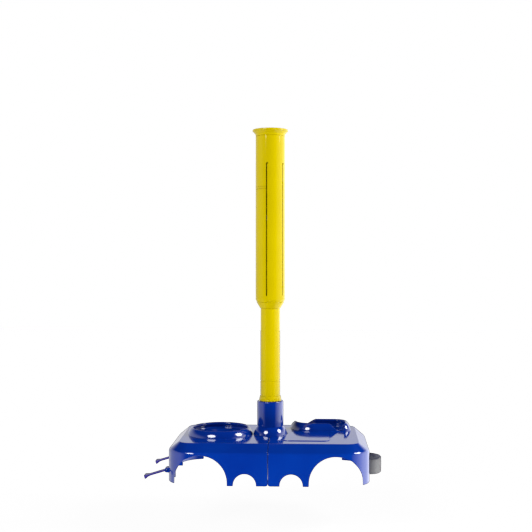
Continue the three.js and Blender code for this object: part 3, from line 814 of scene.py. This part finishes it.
def latches():
    """The tongues with a flared end, drooping from their pins."""
    flare = -LATCH_LENGTH + 8
    for place, end in (("front", -1), ("rear", 1)):
        side = rounded_path([(-2, -1.5, 0), (-2, 1.5, 0), (flare, 1.5, 14), (-LATCH_LENGTH, 2.8, 0.8),
                             (-LATCH_LENGTH, -4.8, 0.8), (flare, -1.5, 14)], 6, closed=True)
        tip = -LATCH_LENGTH - 1
        plan = rounded_path([(0, -3.5, 0), (flare + 3, -3.1, 6), (flare - 3, -8, 2.5), (tip, -8, 1),
                             (tip, 8, 1), (flare - 3, 8, 2.5), (flare + 3, 3.1, 6), (0, 3.5, 0)], 6)
        arm = prism(f"latch_piece_{place}", side, -9, 9, "y")
        common(arm, prism("plan", plan, -12, 12))
        bevel(arm, 0.35, 50, 2)
        join(arm, bevel(rod("barrel", 0, 0, 3.8, -4.3, 4.3, 48), 0.4, 60, 2))
        cut(arm, rod("hole", 0, 0, PIN_HOLE_R, -10, 10, 32))
        arm.data.transform(Matrix.Rotation(math.radians(-LATCH_DROOP), 4, "Y"))
        move(arm, LATCH_X, end * LATCH_Y, LATCH_Z)
        surface(arm, LATCH, f"{place}_latch", [f"latch_{place}"])


def strap_line(steps):
    """Points along the middle of the strap, seen from above, with the outward direction at each."""
    reach = STRAP_HIGH.x - WALL_X - 2
    tail = 10.0
    line = [(WALL_X - tail + k * 2.2, -STRAP_Y, 0.0, -1.0) for k in range(5)]
    for i in range(steps + 1):
        a = -math.pi / 2 + math.pi * i / steps
        x = WALL_X + 1 + reach * math.cos(a)
        y = STRAP_Y * math.sin(a)
        nx, ny = math.cos(a) * STRAP_Y, math.sin(a) * reach
        size = math.hypot(nx, ny)
        line.append((x, y, nx / size, ny / size))
    line += [(WALL_X - tail + k * 2.2, STRAP_Y, 0.0, 1.0) for k in reversed(range(5))]
    return line


def strap():
    """A loop of flat webbing with rounded selvedges."""
    line = strap_line(56)
    mid_z = (STRAP_LOW.z + STRAP_HIGH.z) / 2
    section = flat(rounded_rect(-1.0, 1.0, -15.0, 15.0, 0.9, 5, 10))
    rings = []
    for i, (x, y, nx, ny) in enumerate(line):
        sway = 0.35 * math.sin(i * 0.21)
        ring = []
        for out, up in section:
            cup = 0.25 * (up / 15) ** 2
            ring.append((x + nx * (out - cup), y + ny * (out - cup), mid_z + up * 0.985 + sway))
        rings.append(ring)
    obj = loft("carry_strap_piece", rings)
    lengths = [0.0]
    for a, b in zip(line, line[1:]):
        lengths.append(lengths[-1] + math.dist(a[:2], b[:2]))
    uv = obj.data.uv_layers.new(name="along_strap")
    count = len(section)
    for loop in obj.data.loops:
        ring, k = divmod(loop.vertex_index, count)
        uv.data[loop.index].uv = (lengths[ring] / 200, section[k][1] / 30 + 0.5)
    surface(obj, WEBBING, "right_base", ["carry_strap"], 60)


def strap_stops():
    """The bars behind the wall that hold the strap's ends."""
    for place in ("front", "rear"):
        low, high = node_mm(f"strap_stop_{place}")
        y = (low.y + high.y) / 2
        z = (low.z + high.z) / 2
        outline = flat(rounded_rect(low.y, high.y, low.z, high.z, 2.5, 8))
        bar = bevel(prism(f"strap_stop_piece_{place}", outline, low.x, high.x, "x"), 0.6, 60, 3)
        slit = flat(rounded_rect(y - 1.3, y + 1.3, z - 15.3, z + 15.3, 1.0, 5))
        cut(bar, prism("slit", slit, low.x - 3, high.x + 3, "x"))
        surface(bar, BLACK, "right_base", [f"strap_stop_{place}"])


# ---- socket, post and barrel ----

def socket():
    """The tube the post stands in, with its domed foot and screw holes."""
    foot = SOCKET_LOW.z
    bore = TUBE_R + 0.4
    bulge = 30.0                   # radius of the dome's flank
    centre = (DOME_R - bulge * math.cos(DOME_FROM), foot + 0.5 - bulge * math.sin(DOME_FROM))
    low_end = math.degrees(DOME_FROM)
    dome = arc(centre, (bulge, bulge), low_end, low_end + DOME_SWEEP, 14)
    top = rounded_path([(SOCKET_R, DOME_Z + 1.2, 0), (SOCKET_R, SOCKET_TOP, 1.6),
                        (bore + 0.6, SOCKET_TOP, 0.6), (bore, SOCKET_TOP - 1.2, 0.8),
                        (bore, foot + 3, 1.0), (0, foot + 3, 0)], 5)
    profile = [(0, foot), (DOME_R + 0.6, foot), (DOME_R + 0.3, foot + 0.15)] + dome + top
    obj = lathe("pole_socket_piece", profile, 144)
    for x, y in SCREWS:
        cut(obj, prism("screw_hole", arc((x, y), (1.9, 1.9), 0, 345, 23), foot - 5, foot + 10))
    surface(obj, BLUE, "right_base", ["pole_socket"])


def lower_tube():
    """The thin tube, with a groove near its foot."""
    inner = TUBE_R - 2.2
    groove = TUBE_GROOVE_Z
    corners = [
        (inner, TUBE_LOW.z, 0.3), (TUBE_R, TUBE_LOW.z, 0.5), (TUBE_R, groove - 1.1, 0.2),
        (TUBE_R - 0.7, groove - 0.6, 0.3), (TUBE_R - 0.7, groove + 0.6, 0.3), (TUBE_R, groove + 1.1, 0.2),
        (TUBE_R, TUBE_HIGH.z, 0.5), (inner, TUBE_HIGH.z, 0.3),
    ]
    obj = lathe("lower_tube_piece", rounded_path(corners, 4, closed=True), 144)
    surface(obj, YELLOW, "post", ["lower_tube"])


def small_round_parts():
    """The tube's end plug, the stop collar and the guide bush."""
    low, high = node_mm("tube_end_plug")
    corners = [(0, low.z, 0), (20.2, low.z, 0.7), (20.2, low.z + 2, 0.4), (18.0, low.z + 2, 0.2),
               (17.6, high.z, 0.8), (0, high.z, 0)]
    plug = lathe("tube_end_plug_piece", rounded_path(corners, 4), 96)
    surface(plug, YELLOW, "post", ["tube_end_plug"])

    inner = SLIDE_BORE_R
    z = STOP_LOW.z
    corners = [(inner, z, 0.2), (23.2, z, 0.7), (23.2, z + 3.4, 0.8), (22.1, z + 4.4, 0.4),
               (22.7, z + 5.4, 0.6), (21.5, STOP_HIGH.z, 0.4), (inner, STOP_HIGH.z, 0.2)]
    collar = lathe("stop_collar_piece", rounded_path(corners, 4, closed=True), 128)
    surface(collar, YELLOW, "post", ["stop_collar"])

    low, high = node_mm("guide_bush")
    flange = high.z - 11
    corners = [(15, low.z, 0.5), (17.8, low.z, 0.5), (18.0, flange, 0.3), (high.x, flange, 0.6),
               (high.x, high.z, 0.8), (15, high.z, 0.8)]
    bush = lathe("guide_bush_piece", rounded_path(corners, 4, closed=True), 96)
    surface(bush, BLACK, "post", ["guide_bush"])


def barrel_collar():
    """The cone at the barrel's foot."""
    bore = SLIDE_BORE_R
    shoulder = SLEEVE_LOW.z - 0.3
    spigot = BARREL_R - 2.5
    corners = [
        (bore, COLLAR_LOW.z, 0.3), (bore + 0.9, COLLAR_LOW.z, 0.5), (BARREL_R - 2.0, shoulder - 0.4, 1.2),
        (BARREL_R - 2.4, shoulder, 0.2), (spigot, shoulder, 0.1), (spigot, COLLAR_HIGH.z, 0.6),
        (bore, COLLAR_HIGH.z, 0.6),
    ]
    obj = lathe("barrel_collar_piece", rounded_path(corners, 5, closed=True), 144)
    surface(obj, YELLOW, "barrel", ["barrel_collar"])


def slot_cutter(angle):
    """A long slot with a round foot and a small hook at its top."""
    half = SLOT_WIDTH / 2
    z0, z1 = SLOT_Z
    outline = rounded_path([
        (-half, z0, 1.1), (half, z0, 1.1), (half, z1 - SLOT_WIDTH, 0.6), (3.6, z1 - SLOT_WIDTH, 0.8),
        (3.6, z1, 0.8), (-half, z1, 1.1)], 5, closed=True)
    tool = prism("slot", outline, -BARREL_R - 3, -BARREL_R + 6, "y")
    tool.data.transform(Matrix.Rotation(math.radians(angle), 4, "Z"))
    return tool


def barrel_sleeve():
    """The wide tube with its long slots and two score lines."""
    z0, z1 = SLEEVE_LOW.z, SLEEVE_HIGH.z
    inner = BARREL_R - 2.2
    outer_foot = arc((BARREL_R - 5, z0 + 7.0), (5, 6.7), -64, 0, 10)
    corners = [(inner, z1), (inner, z0 + 0.4), (inner + 0.3, z0)]
    profile = corners + outer_foot + [(BARREL_R, z1 - 0.5), (BARREL_R - 0.5, z1)]
    obj = lathe("barrel_sleeve_piece", profile, 160)
    for i in range(SLOT_COUNT):
        cut(obj, slot_cutter(SLOT_FIRST + 360 / SLOT_COUNT * i))
    for z in SCORE_HEIGHTS:
        floor_r = BARREL_R - SCORE_DEPTH
        outside_r = BARREL_R + 1
        section = [(floor_r, z - 0.4), (outside_r, z - 0.8), (outside_r, z + 0.8), (floor_r, z + 0.4)]
        ring = lathe("score", section, 160)
        wedge = prism("wedge", [(0, 0)] + [
            (45 * math.sin(math.radians(a)), -45 * math.cos(math.radians(a)))
            for a in range(-83, -12, 10)], z - 3, z + 3)
        common(ring, wedge)
        cut(obj, ring)
    surface(obj, YELLOW, "barrel", ["barrel_sleeve"])


def ball_cup():
    """The flared cup that the ball sits on."""
    low, high = CUP_LOW.z, CUP_HIGH.z
    shoulder = low + 15
    spigot = BARREL_R - 2.5
    corners = [
        (23, low, 0.8), (spigot, low, 0.6), (spigot, shoulder, 0.1), (BARREL_R, shoulder, 0.4),
        (BARREL_R + 0.5, shoulder + 4.0, 3.0), (CUP_R - 2.2, high - 5.2, 1.2), (CUP_R, high - 3.6, 0.9),
        (CUP_R, high, 1.3), (34.5, high, 0.8), (32.0, high - 2.2, 1.5), (25.5, high - 10.5, 6.0),
        (23, high - 13, 2.0),
    ]
    obj = lathe("ball_cup_piece", rounded_path(corners, 6, closed=True), 160)
    surface(obj, YELLOW, "barrel", ["ball_cup"])


# ---- studio ----

CAMERA_DISTANCE = 2.033
CAMERA_HEIGHT = 0.44
CAMERA_TURN = math.radians(2.5)
CAMERA_SIDE = 0.0092           # how far the post stands right of the view's middle
FOCAL_LENGTH = 64.3
# How bright the studio is round the object, by degrees from the front
STUDIO = [(-180, 0.85), (-150, 0.9), (-70, 0.9), (-44, 0.02), (44, 0.02), (66, 1.2), (100, 2.6),
          (150, 2.2), (172, 0.9), (180, 0.85)]
STUDIO_PEAK = 2.6
STUDIO_TOP = 0.02
FLOOR_WASH = 60.0
FLOOR_Z = -0.105


def camera():
    """A level camera in front of the object and a little to its right."""
    data = bpy.data.cameras.new("camera")
    data.lens = FOCAL_LENGTH
    data.sensor_width = 36
    obj = bpy.data.objects.new("camera", data)
    SCENE.collection.objects.link(obj)
    ahead = Vector((-math.sin(CAMERA_TURN), math.cos(CAMERA_TURN), 0))
    right = Vector((math.cos(CAMERA_TURN), math.sin(CAMERA_TURN), 0))
    post = Vector((POST_X * MM, 0, CAMERA_HEIGHT))
    obj.location = post - CAMERA_DISTANCE * ahead - CAMERA_SIDE * right
    obj.rotation_euler = (math.pi / 2, 0, CAMERA_TURN)
    SCENE.camera = obj


def softbox(name, azimuth, elevation, distance, size, power, reflected=True):
    """An area light seen from the object at an azimuth from the camera's side, to the right if positive."""
    data = bpy.data.lights.new(name, "AREA")
    data.shape = "ELLIPSE"
    data.size, data.size_y = size
    data.energy = power
    obj = bpy.data.objects.new(name, data)
    SCENE.collection.objects.link(obj)
    a, e = math.radians(azimuth), math.radians(elevation)
    way = Vector((math.sin(a) * math.cos(e), -math.cos(a) * math.cos(e), math.sin(e)))
    obj.location = Vector((POST_X * MM, 0, 0.15)) + way * distance
    obj.rotation_euler = way.to_track_quat("Z", "Y").to_euler()
    obj.visible_glossy = reflected


def world():
    """Plain white to the camera; a studio that is dark in front, bright at both sides and pale behind."""
    made = bpy.data.worlds.new("studio")
    made.use_nodes = True
    SCENE.world = made
    n = Nodes(tree=made.node_tree)
    way = n.add("TexCoord").outputs["Generated"]
    parts = n.add("SeparateXYZ", {0: way}).outputs
    frontward = n.add("Math", {0: parts["Y"], 1: -1.0}, operation="MULTIPLY").outputs[0]
    azimuth = n.add("Math", {0: parts["X"], 1: frontward}, operation="ARCTAN2").outputs[0]
    around = n.spread(azimuth, 0.0, 1.0, -math.pi, math.pi)
    tones = [(0.5 + degrees / 360, level / STUDIO_PEAK) for degrees, level in STUDIO]
    walls = n.ramp(around, [(at, (tone, tone, tone, 1)) for at, tone in tones])
    walls = n.add("Math", {0: walls, 1: STUDIO_PEAK}, operation="MULTIPLY").outputs[0]
    overhead = n.spread(parts["Z"], 0.0, 1.0, 0.24, 0.5)
    studio = n.add("Mix", {"Factor": overhead, "A": walls, "B": STUDIO_TOP}).outputs["Result"]
    seen = n.add("LightPath").outputs["Is Camera Ray"]
    strength = n.add("Mix", {"Factor": seen, "A": studio, "B": 1.0}).outputs["Result"]
    background = n.tree.nodes["Background"]
    background.inputs["Color"].default_value = (1, 1, 1, 1)
    n.tree.links.new(strength, background.inputs["Strength"])


def floor():
    """Pale paper with hardly a shadow, low enough for the half that folds under."""
    mesh = bpy.data.meshes.new("floor")
    size = 6.0
    around = ((-1, -1), (1, -1), (1, 1), (-1, 1))
    corners = [(x * size, y * size, FLOOR_Z) for x, y in around]
    mesh.from_pydata(corners, [], [(0, 1, 2, 3)])
    obj = bpy.data.objects.new("floor", mesh)
    SCENE.collection.objects.link(obj)
    n = Nodes("floor_paper")
    n.set(Base_Color=(0.9, 0.9, 0.9, 1), Roughness=0.6)
    mesh.materials.append(n.material)
    obj.is_shadow_catcher = True
    obj.visible_glossy = False
    obj.visible_diffuse = False
    obj.visible_shadow = False

    wash = bpy.data.lights.new("floor_wash", "SUN")
    wash.energy = FLOOR_WASH
    wash.use_shadow = False
    lamp = bpy.data.objects.new("floor_wash", wash)
    SCENE.collection.objects.link(lamp)
    lit = bpy.data.collections.new("lit_by_wash")
    lit.objects.link(obj)
    lamp.light_linking.receiver_collection = lit


camera()
world()
floor()
softbox("left_softbox", -34, 34, 2.2, (1.0, 0.95), 34)
softbox("right_softbox", 83, 34, 2.2, (1.0, 0.95), 46)
softbox("floor_bounce", 5, -35, 1.3, (1.4, 0.7), 18, reflected=False)
SCENE.view_settings.view_transform = "Standard"

left_half()
right_half()
hinge_links()
pins()
screws()
latches()
strap()
strap_stops()
socket()
lower_tube()
small_round_parts()
barrel_collar()
barrel_sleeve()
ball_cup()
